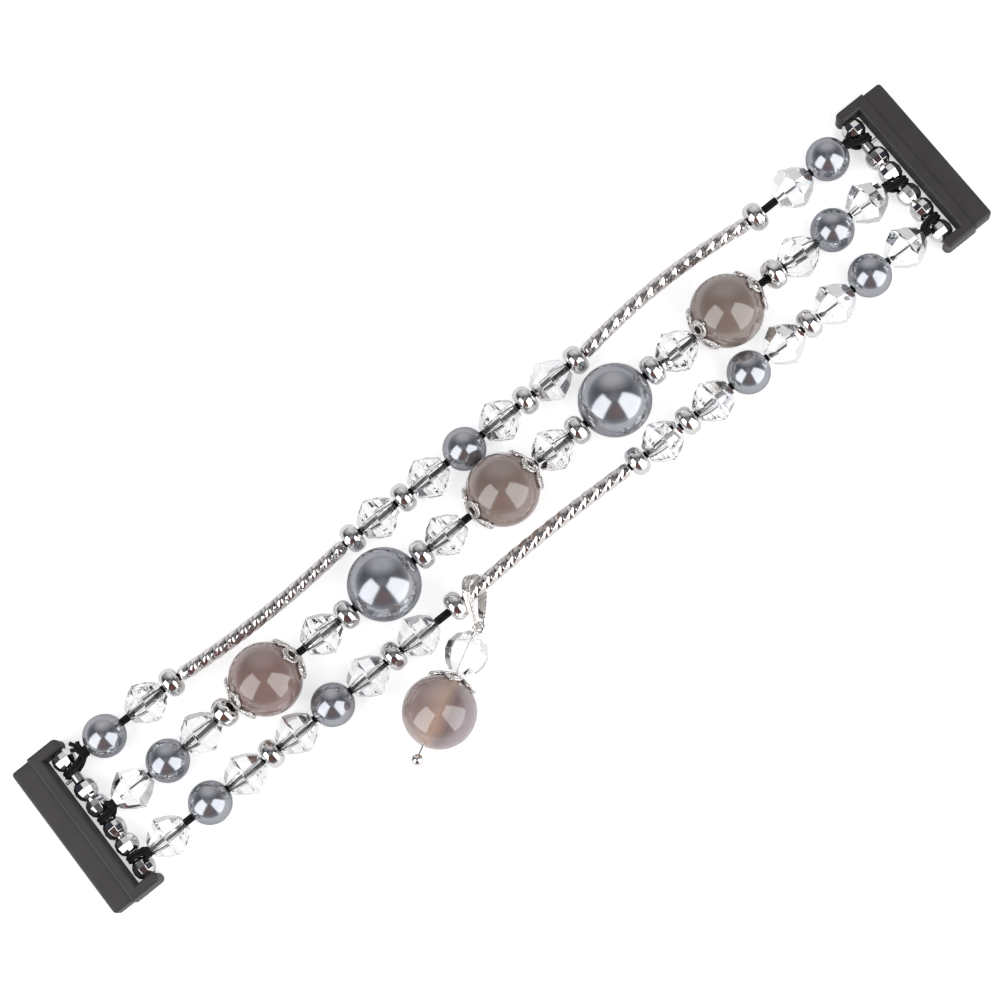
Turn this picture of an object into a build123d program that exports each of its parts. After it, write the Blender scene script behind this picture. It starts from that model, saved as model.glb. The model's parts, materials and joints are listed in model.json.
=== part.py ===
from build123d import *
import os
from math import asin, cos, radians, sin

# Bead watch band: three elastic rows of beads between two spring-bar connectors, laid flat.
# X runs along the band, Y across it, and the table is the plane z = 0. Millimetres.

# Beads on the elastic, measured along and across the hole.
pearl_diameter = 5.9
large_bead_diameter = 9.9
bicone_diameter = 6.2
bicone_length = 5.5
bicone_sides = 8
bicone_height_shares = (-1.0, -0.6, -0.12, 0.12, 0.6, 1.0)
bicone_radius_shares = (0.41, 0.76, 1.0, 1.0, 0.76, 0.41)
spacer_diameter = 4.0
spacer_length = 2.4
spacer_rim_share = 0.42

# Diamond-cut curved tubes.
tube_diameter = 2.0
tube_length = 27.6
tube_sides = 6
tube_cuts = 15
tube_cut_turn = 30.0
tube_bends = 6
upper_left_bow = -0.7
upper_right_bow = 1.1
lower_bow = 0.35

# Petal caps on the agates.
cap_petals = 5
cap_shell = 0.35
cap_seat_gap = 0.05
cap_hub_diameter = 2.4
cap_hub_height = 0.6
petal_length = 2.7
petal_width = 2.1
petal_reach = 3.2
petal_window_share = 0.52
first_petal_angle = 90.0

# Elastic, two strands side by side, and its holes.
strand_diameter = 0.52
strand_overlap = 0.02
elastic_clearance = 0.1
knot_diameter = 1.5
neck_diameter = 0.75
bead_play = 0.2
short_gap = 1.0
long_gap = 2.0
row_clearance = 0.05
end_gap = 2.45

# Faceted beads on the spring bars.
facet_bead_diameter = 3.3
facet_bead_width = 2.6
facet_bead_sides = 10
facet_bead_clearance = 0.05
facet_height_shares = (-1.0, -0.62, 0.0, 0.62, 1.0)
facet_radius_shares = (0.6, 0.88, 1.0, 0.88, 0.6)
stack_play = 0.1

# Quick-release spring bar.
bar_diameter = 1.5
bar_wall = 0.22
tip_diameter = 0.8
tip_engagement = 0.5
lever_diameter = 0.45
lever_reach = 1.65
lever_travel = 0.6
bar_end_gap = 0.1
plunger_tail = 0.4
crimp_length = 0.4
slide_clearance = 0.05
spring_length = 3.0
spring_wire = 0.2
spring_turns = 5

# Connector moulding.
connector_height = 3.8
arm_width = 1.5
arm_reach = 1.1
throat_clearance = 0.4
shoulder_depth = 1.65
tongue_depth = 2.85
tongue_height = 3.0
tongue_inset = 0.2
tongue_edge_radius = 0.4
tongue_corner_radius = 0.5
arm_tip_share = 0.46
moulding_radius = 0.35
tip_hole_spare = 0.2

# Pendant: a bail on the lower tube, and a drop that hangs from it on a headpin.
bail_inset = 1.5
bail_band = 0.4
bail_top_width = 1.1
bail_end_width = 0.55
bail_top_radius = 1.8
bail_bottom_radius = 0.6
bail_drop = 4.1
bail_yaw = 31.0
bail_lean = 25.0
headpin_wire = 0.45
headpin_eye_radius = 0.65
headpin_ball_diameter = 1.6
headpin_bare = 1.2
headpin_clearance = 0.15
drop_yaw = 208.0
drop_play = 0.1
crystal_diameter = 5.9
crystal_length = 5.8
crystal_sides = 8
crystal_height_shares = (-1.0, -0.45, 0.45, 1.0)
crystal_radius_shares = (0.36, 1.0, 0.97, 0.36)

overrun = 1.0

elastic_width = 2 * strand_diameter - strand_overlap
hole_diameter = elastic_width + 2 * elastic_clearance
bicone_height = bicone_diameter * cos(radians(180 / bicone_sides))
small_height = max(pearl_diameter, bicone_height) / 2
large_height = large_bead_diameter / 2
row_pitch = large_height + small_height + row_clearance
agate_length = large_bead_diameter + 2 * cap_hub_height

# The pieces of each row, strung from -X to +X and grouped where the band bends between them.
upper_row = (
    ("left", ("short_gap", "pearl", "short_gap", "bicone", "spacer")),
    ("upper_left", ("tube",)),
    ("upper_left_inner", ("spacer", "bicone", "spacer", "bicone")),
    ("upper_middle", ("pearl",)),
    ("upper_right_inner", ("bicone", "spacer", "bicone", "spacer")),
    ("upper_right", ("tube",)),
    ("right", ("spacer", "long_gap", "bicone", "pearl")),
)
middle_row = (
    ("left", ("bicone", "pearl", "bicone", "spacer")),
    ("middle_left", ("agate",)),
    ("middle_left_inner", ("short_gap", "bicone", "spacer", "large_pearl", "spacer", "bicone")),
    ("middle_centre", ("short_gap", "agate")),
    ("middle_right_inner", ("bicone", "spacer", "large_pearl", "spacer", "bicone")),
    ("middle_right", ("agate",)),
    ("right", ("short_gap", "spacer", "bicone", "pearl", "bicone")),
)
lower_row = (
    ("left", ("bicone", "short_gap", "pearl", "bicone", "spacer")),
    ("lower_left", ("bicone", "pearl", "bicone")),
    ("lower_left_inner", ("spacer", "bicone", "long_gap", "spacer")),
    ("lower_middle", ("tube",)),
    ("lower_right_inner", ("spacer", "bicone", "spacer")),
    ("lower_right", ("bicone", "pearl", "bicone")),
    ("right", ("spacer", "bicone", "pearl", "bicone")),
)
piece_lengths = {
    "pearl": pearl_diameter,
    "large_pearl": large_bead_diameter,
    "bicone": bicone_length,
    "spacer": spacer_length,
    "tube": tube_length,
    "agate": agate_length,
    "short_gap": short_gap,
    "long_gap": long_gap,
}
gap_kinds = ("short_gap", "long_gap")


def kinds_of(row):
    """All pieces and bare gaps of a row in order."""
    return [kind for group, kinds in row for kind in kinds]


def strung_length(row):
    """The length of a row's pieces and bare gaps alone, and the number of gaps that take up play."""
    kinds = kinds_of(row)
    beads = [kind for kind in kinds if kind not in gap_kinds]
    return sum(piece_lengths[kind] for kind in kinds), len(beads) - 1


rows = (upper_row, middle_row, lower_row)
row_length = max(length + bead_play * gaps for length, gaps in map(strung_length, rows))
bar_x = row_length / 2 + end_gap
bar_z = connector_height / 2


def strung(row):
    """(group, kind, start, end) of each piece along X, with a row's spare length shared among its gaps."""
    length, gaps = strung_length(row)
    play = (row_length - length) / gaps
    x = -row_length / 2
    pieces = []
    for group, kinds in row:
        for kind in kinds:
            if kind not in gap_kinds:
                pieces.append((group, kind, x, x + piece_lengths[kind]))
                x += play
            x += piece_lengths[kind]
    return pieces


def bends(row):
    """X of the middle of each gap where one group ends and the next begins."""
    pieces = strung(row)
    pairs = zip(pieces, pieces[1:])
    return [(first[3] + second[2]) / 2 for first, second in pairs if first[0] != second[0]]


def gap_beside(row, kind, last=False):
    """X of the middle of the gap after a row's first piece of a kind, or before its last one."""
    pieces = strung(row)
    found = [number for number, piece in enumerate(pieces) if piece[1] == kind]
    before = found[-1] - 1 if last else found[0]
    return (pieces[before][3] + pieces[before + 1][2]) / 2


# The middle row climbs from the small beads' height to the agates' on each side.
climb_start = gap_beside(middle_row, "pearl")
climb_end = bends(middle_row)[0]
fall_start = bends(middle_row)[-1]
fall_end = gap_beside(middle_row, "pearl", last=True)


def row_axis(row, y):
    """The corners of a row's line of holes, which is straight between them."""
    ends = [(-row_length / 2, small_height), (row_length / 2, small_height)]
    if row is middle_row:
        climb = [(climb_start, small_height), (climb_end, large_height)]
        fall = [(fall_start, large_height), (fall_end, small_height)]
        ends[1:1] = climb + fall
    return [(x, y, z) for x, z in ends]


def hole_plane(corners, x):
    """The plane across a row's line of holes at x, its z axis along the holes."""
    for first, second in zip(corners, corners[1:]):
        if first[0] <= x <= second[0]:
            share = (x - first[0]) / (second[0] - first[0])
            rise = second[2] - first[2]
            run = second[0] - first[0]
            point = (x, first[1], first[2] + share * rise)
            return Plane(origin=point, x_dir=(0, 1, 0), z_dir=(run, 0, rise))


def tube_arc(start, end, y, bow):
    """The three points of a curved tube's line, which bows across the band."""
    middle = ((start + end) / 2, y + bow, small_height)
    return (start, y, small_height), middle, (end, y, small_height)


def drill(plane, diameter, length):
    """Cuts a hole through the bead that is being made, centred on the plane."""
    with BuildSketch(plane) as hole:
        Circle(diameter / 2)
    extrude(hole.sketch, amount=length / 2 + overrun, both=True, mode=Mode.SUBTRACT)


def round_bead(diameter, bore):
    """A pearl or an agate: a ball with its hole along z."""
    with BuildPart() as bead:
        Sphere(diameter / 2)
        drill(Plane.XY, bore, diameter)
    return bead.part


def cut_bead(height_shares, radius_shares, length, diameter, sides, bore):
    """A faceted bead: polygons stacked along z, flats down, and joined by flat cuts."""
    half_side = 180 / sides
    with BuildPart() as bead:
        for height_share, radius_share in zip(height_shares, radius_shares):
            with BuildSketch(Plane.XY.offset(height_share * length / 2)):
                RegularPolygon(radius_share * diameter / 2, sides, rotation=half_side)
        loft(ruled=True)
        drill(Plane.XY, bore, length)
    return bead.part


def bicone_bead():
    """A crystal bicone: two full pyramids with flat tips, base to base over a narrow girdle."""
    return cut_bead(
        bicone_height_shares,
        bicone_radius_shares,
        bicone_length,
        bicone_diameter,
        bicone_sides,
        hole_diameter,
    )


def spacer_bead():
    """A plain metal spacer: a ring with a full round rim."""
    wall = (spacer_diameter - hole_diameter) / 2
    with BuildPart() as bead:
        with BuildSketch(Plane.XZ) as profile:
            with Locations((hole_diameter / 2 + wall / 2, 0)):
                Rectangle(wall, spacer_length)
            outer = profile.vertices().group_by(Axis.X)[-1]
            fillet(outer, spacer_rim_share * spacer_length)
        revolve(axis=Axis.Z)
    return bead.part


def petal_cap():
    """A pierced cap of petals that hugs the +Z end of an agate whose centre is the origin."""
    inner = large_bead_diameter / 2 + cap_seat_gap
    outer = inner + cap_shell
    top = large_bead_diameter / 2 + cap_hub_height
    petal_middle = petal_reach - petal_length / 2
    petal_rim = (1 - petal_window_share) * petal_length / 2
    with BuildPart() as cap:
        Sphere(outer)
        Sphere(inner, mode=Mode.SUBTRACT)
        with BuildSketch(Plane.XY):
            with PolarLocations(petal_middle, cap_petals, start_angle=first_petal_angle):
                Ellipse(petal_length / 2, petal_width / 2)
            with PolarLocations(petal_middle + petal_rim / 2, cap_petals, start_angle=first_petal_angle):
                Ellipse(
                    petal_window_share * petal_length / 2,
                    petal_window_share * petal_width / 2,
                    mode=Mode.SUBTRACT,
                )
            Circle(cap_hub_diameter / 2)
        extrude(amount=outer, mode=Mode.INTERSECT)
        with BuildSketch(Plane.XY.offset(inner)):
            Circle(cap_hub_diameter / 2)
        extrude(amount=top - inner)
        drill(Plane.XY, hole_diameter, 2 * top)
    return cap.part


def cut_tube(start, end, y, bow):
    """A curved metal tube whose twisted flats are cut along it, with a round bore."""
    with BuildLine() as line:
        ThreePointArc(*tube_arc(start, end, y, bow))
    arc = line.edges()[0]
    with BuildPart() as tube:
        for cut in range(tube_cuts + 1):
            share = cut / tube_cuts
            across = Plane(origin=arc @ share, x_dir=(0, 0, 1), z_dir=arc % share)
            with BuildSketch(across):
                RegularPolygon(tube_diameter / 2, tube_sides, rotation=cut * tube_cut_turn)
        loft(ruled=True)
        with BuildSketch(Plane(origin=arc @ 0, x_dir=(0, 0, 1), z_dir=arc % 0)):
            Circle(hole_diameter / 2)
        sweep(path=arc, mode=Mode.SUBTRACT)
    return tube.part


def write(part, node):
    """Labels a finished piece and writes it as its own file."""
    part.label = node
    export_step(part, f"parts/{node}.step")


os.makedirs("parts", exist_ok=True)

pearl_bead = round_bead(pearl_diameter, hole_diameter)
large_bead = round_bead(large_bead_diameter, hole_diameter)
agate_cap = petal_cap()
bead_shapes = {
    "pearl": pearl_bead,
    "large_pearl": large_bead,
    "bicone": bicone_bead(),
    "spacer": spacer_bead(),
    "agate": large_bead,
}
row_heights = ((upper_row, row_pitch), (middle_row, 0), (lower_row, -row_pitch))
tube_bows = {
    "upper_left": upper_left_bow,
    "upper_right": upper_right_bow,
    "lower_middle": lower_bow,
}
plurals = {
    "pearl": "pearls",
    "large_pearl": "large_pearls",
    "bicone": "bicones",
    "spacer": "spacers",
}

# Gather the beads of each group by kind, so that like beads that move together share a node.
bead_planes = {}
tubes = {}
for row, y in row_heights:
    corners = row_axis(row, y)
    for group, kind, start, end in strung(row):
        if kind == "tube":
            tubes[group] = (start, end, y, tube_bows[group])
        else:
            plane = hole_plane(corners, (start + end) / 2)
            bead_planes.setdefault((group, kind), []).append(plane)

for (group, kind), planes in bead_planes.items():
    with BuildPart() as beads:
        with Locations(*planes):
            add(bead_shapes[kind])
    name = plurals[kind] if len(planes) > 1 else kind
    write(beads.part, f"{group}_{name}")
    if kind == "agate":
        with BuildPart() as caps:
            with Locations(*planes):
                add(agate_cap)
                add(agate_cap, rotation=(0, 180, 0))
        write(caps.part, f"{group}_caps")

for group, places in tubes.items():
    write(cut_tube(*places), f"{group}_tube")

# Faceted beads, elastic loops and the release lever share the spring bar, from +Y to -Y.
stack = (
    ("facet_bead", facet_bead_width),
    ("upper", elastic_width),
    ("lever", lever_diameter + lever_travel),
    ("facet_bead", facet_bead_width),
    ("facet_bead", facet_bead_width),
    ("middle", elastic_width),
    ("facet_bead", facet_bead_width),
    ("facet_bead", facet_bead_width),
    ("lower", elastic_width),
    ("facet_bead", facet_bead_width),
)
inner_width = sum(width for name, width in stack) + stack_play * (len(stack) + 1)
facet_bead_ys = []
loop_ys = {}
y = inner_width / 2
for name, width in stack:
    y -= stack_play
    if name == "facet_bead":
        facet_bead_ys.append(y - width / 2)
    elif name == "lever":
        lever_y = y - lever_diameter / 2
    else:
        loop_ys[name] = y - width / 2
    y -= width

facet_bead = cut_bead(
    facet_height_shares,
    facet_radius_shares,
    facet_bead_width,
    facet_bead_diameter,
    facet_bead_sides,
    bar_diameter + 2 * facet_bead_clearance,
)
with BuildPart() as left_facet_beads:
    with Locations(*[Plane(origin=(-bar_x, y, bar_z), z_dir=(0, 1, 0)) for y in facet_bead_ys]):
        add(facet_bead)
write(left_facet_beads.part, "left_facet_beads")
with BuildPart() as right_facet_beads:
    mirror(left_facet_beads.part, about=Plane.YZ)
write(right_facet_beads.part, "right_facet_beads")

# The connector: a moulded bar with a tongue on its outer side and two arms that hold the spring bar.
throat = facet_bead_diameter / 2 + throat_clearance
outer_width = inner_width + 2 * arm_width
shoulder_x = -(bar_x + throat)
seam_x = shoulder_x - shoulder_depth
tongue_x = seam_x - tongue_depth
arm_tip_x = -(bar_x - arm_reach)
tongue_length = outer_width - 2 * tongue_inset
tip_hole_diameter = tip_diameter + 2 * slide_clearance
with BuildPart() as left_connector:
    with BuildSketch(Plane.XY):
        with Locations(((seam_x + arm_tip_x) / 2, 0)):
            Rectangle(arm_tip_x - seam_x, outer_width)
        with Locations(((shoulder_x + arm_tip_x + overrun) / 2, 0)):
            Rectangle(arm_tip_x + overrun - shoulder_x, inner_width, mode=Mode.SUBTRACT)
    extrude(amount=connector_height)
    arm_tips = left_connector.edges().filter_by(Axis.Z).group_by(Axis.X)[-1]
    fillet(arm_tips, arm_tip_share * arm_width)
    rims = left_connector.faces().filter_by(Axis.Z).edges()
    fillet(rims, moulding_radius)
    tongue_plane = Plane.XY.offset((connector_height - tongue_height) / 2)
    with BuildSketch(tongue_plane) as tongue_outline:
        with Locations(((tongue_x + seam_x) / 2 + moulding_radius / 2, 0)):
            Rectangle(tongue_depth + moulding_radius, tongue_length)
        fillet(tongue_outline.vertices().group_by(Axis.X)[0], tongue_corner_radius)
    extrude(amount=tongue_height)
    tongue_rims = left_connector.edges().filter_by_position(Axis.X, tongue_x - overrun, seam_x - moulding_radius)
    fillet(tongue_rims.filter_by(Plane.XY), tongue_edge_radius)
    hole_run = inner_width / 2 + tip_engagement + tip_hole_spare
    with BuildSketch(Plane(origin=(-bar_x, 0, bar_z), z_dir=(0, 1, 0))):
        Circle(tip_hole_diameter / 2)
    extrude(amount=hole_run, both=True, mode=Mode.SUBTRACT)
write(left_connector.part, "left_connector")
with BuildPart() as right_connector:
    mirror(left_connector.part, about=Plane.YZ)
write(right_connector.part, "right_connector")

# The spring bar: a barrel with one fixed tip, and a sprung tip with a lever that draws it in.
bar_half = inner_width / 2 - bar_end_gap
bore_diameter = bar_diameter - 2 * bar_wall
plunger_diameter = bore_diameter - 2 * slide_clearance
plunger_start = lever_y - plunger_tail
plunger_end = bar_half - crimp_length - bar_end_gap
spring_start = plunger_start - slide_clearance - spring_length
tip_end = inner_width / 2 + tip_engagement


def bar_plane(y):
    """The plane across the left spring bar at y, its z axis along +Y."""
    return Plane(origin=(-bar_x, y, bar_z), x_dir=(-1, 0, 0), z_dir=(0, 1, 0))


with BuildPart() as left_spring_bar:
    with BuildSketch(bar_plane(-bar_half)):
        Circle(bar_diameter / 2)
    extrude(amount=2 * bar_half)
    with BuildSketch(bar_plane(-tip_end)):
        Circle(tip_diameter / 2)
    extrude(amount=tip_end - bar_half)
    with BuildSketch(bar_plane(spring_start - slide_clearance)):
        Circle(bore_diameter / 2)
    extrude(amount=bar_half - crimp_length - spring_start + slide_clearance, mode=Mode.SUBTRACT)
    with BuildSketch(bar_plane(bar_half - crimp_length)):
        Circle(tip_hole_diameter / 2)
    extrude(amount=crimp_length + overrun, mode=Mode.SUBTRACT)
    slot_length = lever_travel + lever_diameter + 2 * slide_clearance
    slot_y = lever_y - lever_travel / 2
    with BuildSketch(Plane(origin=(-bar_x, slot_y, bar_z), x_dir=(0, 1, 0), z_dir=(-1, 0, 0))):
        SlotOverall(slot_length, lever_diameter + 2 * slide_clearance)
    extrude(amount=bar_diameter, mode=Mode.SUBTRACT)
write(left_spring_bar.part, "left_spring_bar")

with BuildPart() as left_release_pin:
    with BuildSketch(bar_plane(plunger_start)):
        Circle(plunger_diameter / 2)
    extrude(amount=plunger_end - plunger_start)
    with BuildSketch(bar_plane(plunger_end)):
        Circle(tip_diameter / 2)
    extrude(amount=tip_end - plunger_end)
    with BuildSketch(Plane(origin=(-bar_x, lever_y, bar_z), z_dir=(-1, 0, 0))):
        Circle(lever_diameter / 2)
    extrude(amount=lever_reach)
write(left_release_pin.part, "left_release_pin")

spring_radius = bore_diameter / 2 - slide_clearance - spring_wire / 2
coil_height = spring_length - spring_wire - 2 * slide_clearance
coil_start = spring_start + slide_clearance + spring_wire / 2
with BuildPart() as spring:
    with BuildLine() as coil:
        Helix(pitch=coil_height / spring_turns, height=coil_height, radius=spring_radius)
    with BuildSketch(Plane(origin=coil.line @ 0, z_dir=coil.line % 0)):
        Circle(spring_wire / 2)
    sweep(is_frenet=True)
with BuildPart() as left_bar_spring:
    with Locations(bar_plane(coil_start)):
        add(spring.part)
write(left_bar_spring.part, "left_bar_spring")

for left, name in (
    (left_spring_bar, "right_spring_bar"),
    (left_release_pin, "right_release_pin"),
    (left_bar_spring, "right_bar_spring"),
):
    with BuildPart() as right:
        mirror(left.part, about=Plane.YZ)
    write(right.part, name)


def elastic_route(row, y, ends):
    """The corners of a row's elastic, which bends at the row's own corners and along its curved tubes."""
    points = [(x, y, small_height) for x in ends]
    points += row_axis(row, y)[1:-1]
    for tube in tubes.values():
        if tube[2] == y:
            with BuildLine() as line:
                ThreePointArc(*tube_arc(*tube))
            points += [tuple(line.line @ (bend / tube_bends)) for bend in range(tube_bends + 1)]
    return sorted(points)


def elastic(row, y, loop_y):
    """One row's elastic: two strands through the beads, with a knot and a loop round each spring bar."""
    pieces = strung(row)
    firsts = (pieces[0][2], pieces[-1][3])
    loop_inner = bar_diameter / 2 + facet_bead_clearance
    loop_outer = loop_inner + strand_diameter
    route = elastic_route(row, y, (firsts[0] - strand_diameter, firsts[1] + strand_diameter))
    with BuildPart() as cord:
        with BuildLine() as line:
            Polyline(*route)
        with BuildSketch(Plane(origin=route[0], x_dir=(0, 1, 0), z_dir=(1, 0, 0))):
            with GridLocations(elastic_width - strand_diameter, 0, 2, 1):
                Circle(strand_diameter / 2)
        sweep(path=line.line, transition=Transition.RIGHT)
        for side, first in zip((-1, 1), firsts):
            bar = (side * bar_x, loop_y, bar_z)
            with BuildSketch(Plane(origin=bar, z_dir=(0, 1, 0))):
                Circle(loop_outer)
                Circle(loop_inner, mode=Mode.SUBTRACT)
            extrude(amount=elastic_width / 2, both=True)
            neck_x = side * (bar_x - (loop_inner + loop_outer) / 2)
            knot_x = first + side * elastic_clearance
            with BuildSketch(Plane(origin=(neck_x, loop_y, bar_z), z_dir=(1, 0, 0))):
                Circle(neck_diameter / 2)
            with BuildSketch(Plane(origin=(knot_x, y, small_height), z_dir=(1, 0, 0))):
                Circle(knot_diameter / 2)
            loft()
    return cord.part


for (row, y), name in zip(row_heights, ("upper", "middle", "lower")):
    write(elastic(row, y, loop_ys[name]), f"{name}_elastic")

# The bail: a teardrop hoop round the lower tube, widest over it. It is yawed and leans, as it lies.
tube_start, tube_end, tube_y, tube_bow = tubes["lower_middle"]
with BuildLine() as tube_line:
    ThreePointArc(*tube_arc(tube_start, tube_end, tube_y, tube_bow))
bail_at = tube_line.line @ (bail_inset / tube_length)
yaw = radians(bail_yaw)
lean = radians(bail_lean)
bail_down = Vector(-sin(yaw), -cos(yaw), 0)
bail_normal = Vector(cos(yaw) * cos(lean), -sin(yaw) * cos(lean), sin(lean))
bail_plane = Plane(origin=bail_at, x_dir=bail_down, z_dir=bail_normal)
bail_side = Plane(origin=bail_at, x_dir=bail_down, z_dir=bail_down.cross(bail_normal))
bail_top_reach = bail_top_radius + bail_band
bail_end_reach = bail_drop + bail_bottom_radius + bail_band
with BuildPart() as pendant_bail:
    with BuildSketch(bail_plane):
        with BuildSketch(mode=Mode.ADD):
            Circle(bail_top_radius + bail_band)
            with Locations((bail_drop, 0)):
                Circle(bail_bottom_radius + bail_band)
            make_hull()
        with BuildSketch(mode=Mode.SUBTRACT):
            Circle(bail_top_radius)
            with Locations((bail_drop, 0)):
                Circle(bail_bottom_radius)
            make_hull()
    extrude(amount=bail_top_width / 2, both=True)
    with BuildSketch(bail_side):
        Polygon(
            (-bail_top_reach, -bail_top_width / 2),
            (bail_end_reach, -bail_end_width / 2),
            (bail_end_reach, bail_end_width / 2),
            (-bail_top_reach, bail_top_width / 2),
            align=None,
        )
    extrude(amount=bail_top_reach, both=True, mode=Mode.INTERSECT)
write(pendant_bail.part, "pendant_bail")

# The drop hangs by the headpin's eye from the bail's lower end and lies with its agate on the table.
eye = bail_at + bail_down * (bail_drop + bail_bottom_radius + bail_band / 2)
crystal_start = headpin_eye_radius + headpin_wire / 2 + drop_play
cap_top = crystal_start + crystal_length + drop_play
agate_at = cap_top + cap_hub_height + large_bead_diameter / 2
ball_at = agate_at + large_bead_diameter / 2 + headpin_bare + headpin_ball_diameter / 2
rise = asin((large_height - eye.Z) / agate_at)
drop_turn = radians(drop_yaw)
drop_direction = Vector(cos(drop_turn) * cos(rise), sin(drop_turn) * cos(rise), sin(rise))


def drop_plane(distance):
    """The plane across the headpin at a distance from its eye, its z axis towards the ball."""
    level = (-sin(drop_turn), cos(drop_turn), 0)
    return Plane(origin=eye + drop_direction * distance, x_dir=level, z_dir=drop_direction)


pin_hole_diameter = headpin_wire + 2 * headpin_clearance
with BuildPart() as pendant_headpin:
    with BuildSketch(drop_plane(headpin_eye_radius)):
        Circle(headpin_wire / 2)
    extrude(amount=ball_at - headpin_eye_radius)
    with Locations(Plane(origin=eye)):
        Torus(headpin_eye_radius, headpin_wire / 2)
    with Locations(drop_plane(ball_at)):
        Sphere(headpin_ball_diameter / 2)
write(pendant_headpin.part, "pendant_headpin")

crystal = cut_bead(
    crystal_height_shares,
    crystal_radius_shares,
    crystal_length,
    crystal_diameter,
    crystal_sides,
    pin_hole_diameter,
)
for shape, place, node in (
    (crystal, drop_plane(crystal_start + crystal_length / 2), "pendant_crystal"),
    (round_bead(large_bead_diameter, pin_hole_diameter), drop_plane(agate_at), "pendant_agate"),
):
    with BuildPart() as hung:
        with Locations(place):
            add(shape)
    write(hung.part, node)
with BuildPart() as pendant_cap:
    with Locations(drop_plane(agate_at)):
        add(agate_cap, rotation=(0, 180, 0))
write(pendant_cap.part, "pendant_cap")

print("bar x, z", bar_x, bar_z, "tongue", tongue_x, "arm tip", arm_tip_x, "widths", inner_width, outer_width)
for row, name in zip(rows, ("upper", "middle", "lower")):
    print(name, "bends at", [round(x, 3) for x in bends(row)])
print("eye", eye, "bail on tube at", bail_at, "lever y", lever_y, "loops", loop_ys)
print("tubes", tubes)
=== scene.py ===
import json
from itertools import product
from math import acos, asin, atan2, cos, pi, radians, sin

import bmesh
import bpy
from mathutils import Matrix, Vector

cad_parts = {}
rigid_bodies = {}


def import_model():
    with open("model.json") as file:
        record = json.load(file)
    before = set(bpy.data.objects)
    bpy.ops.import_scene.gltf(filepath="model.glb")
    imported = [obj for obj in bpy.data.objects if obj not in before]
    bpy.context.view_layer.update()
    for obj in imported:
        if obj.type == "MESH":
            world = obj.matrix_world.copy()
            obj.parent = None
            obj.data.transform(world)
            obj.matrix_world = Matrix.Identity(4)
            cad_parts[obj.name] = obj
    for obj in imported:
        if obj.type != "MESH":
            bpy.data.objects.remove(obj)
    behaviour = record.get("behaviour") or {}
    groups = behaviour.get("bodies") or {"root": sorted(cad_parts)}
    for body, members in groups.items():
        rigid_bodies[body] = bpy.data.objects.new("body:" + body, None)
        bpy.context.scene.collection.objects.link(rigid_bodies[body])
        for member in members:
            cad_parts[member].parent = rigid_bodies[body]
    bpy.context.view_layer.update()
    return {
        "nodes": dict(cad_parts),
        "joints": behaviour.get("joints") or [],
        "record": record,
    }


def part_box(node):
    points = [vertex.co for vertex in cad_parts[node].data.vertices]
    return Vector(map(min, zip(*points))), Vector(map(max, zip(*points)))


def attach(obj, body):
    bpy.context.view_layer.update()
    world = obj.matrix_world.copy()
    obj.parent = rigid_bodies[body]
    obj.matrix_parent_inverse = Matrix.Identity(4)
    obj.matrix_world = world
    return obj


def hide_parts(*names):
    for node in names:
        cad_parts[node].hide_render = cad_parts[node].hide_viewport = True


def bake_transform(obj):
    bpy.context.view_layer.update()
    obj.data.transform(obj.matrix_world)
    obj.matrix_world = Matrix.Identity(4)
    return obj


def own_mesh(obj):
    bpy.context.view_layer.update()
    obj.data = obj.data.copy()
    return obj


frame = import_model()
mm = 0.001

# The studio: a white floor between two large soft lights that stand left and right of the
# photographer, who looks almost straight down on the band through a long lens.
# The room above is dim, and a little warm on the photographer's side.
camera_target = Vector((-0.58, -0.48, 3.0)) * mm
camera_distance = 350 * mm
camera_height_angle = radians(79.5)
camera_side_angle = radians(-96.5)
band_slant = radians(-39.15)
camera_lens = 94.9
towards_camera = Vector((
    cos(camera_height_angle) * cos(camera_side_angle),
    cos(camera_height_angle) * sin(camera_side_angle),
    sin(camera_height_angle),
))
picture_right = Vector((cos(band_slant), sin(band_slant), 0))
picture_right -= towards_camera * picture_right.dot(towards_camera)
picture_right.normalize()
picture_up = towards_camera.cross(picture_right)
picture_axes = Matrix((picture_right, picture_up, towards_camera)).transposed()

shown = bpy.context.scene.collection.objects
camera = bpy.data.objects.new("camera", bpy.data.cameras.new("camera"))
camera.data.lens = camera_lens
camera.data.clip_start = 10 * mm
camera.matrix_world = picture_axes.to_4x4()
camera.location = camera_target + towards_camera * camera_distance
shown.link(camera)
bpy.context.scene.camera = camera
bpy.context.scene.view_settings.view_transform = "Standard"

window_glow = 2.15
for name, place, upright, size in (
    ("right_softbox", (402, -36, 568), (0.219, -0.377, -0.900), (624, 1108)),
    ("left_softbox", (-429, -196, 371), (0.292, 0.663, 0.689), (480, 805)),
):
    lamp = bpy.data.lights.new(name, "AREA")
    lamp.shape = "RECTANGLE"
    lamp.size = size[0] * mm
    lamp.size_y = size[1] * mm
    lamp.energy = window_glow * pi * lamp.size * lamp.size_y
    softbox = bpy.data.objects.new(name, lamp)
    backwards = picture_axes @ Vector(place)
    height_axis = picture_axes @ Vector(upright)
    width_axis = height_axis.cross(backwards).normalized()
    facing = width_axis.cross(height_axis).normalized()
    softbox.matrix_world = Matrix((width_axis, height_axis, facing)).transposed().to_4x4()
    softbox.location = camera_target + backwards * mm
    shown.link(softbox)


def set_colour_stops(ramp, stops):
    """Gives a colour ramp its stops, each a place from 0 to 1 and a colour."""
    band = ramp.color_ramp
    while len(band.elements) < len(stops):
        band.elements.new(1.0)
    for element, (place, colour) in zip(band.elements, stops):
        element.position = place
        element.color = (*colour, 1)


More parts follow.
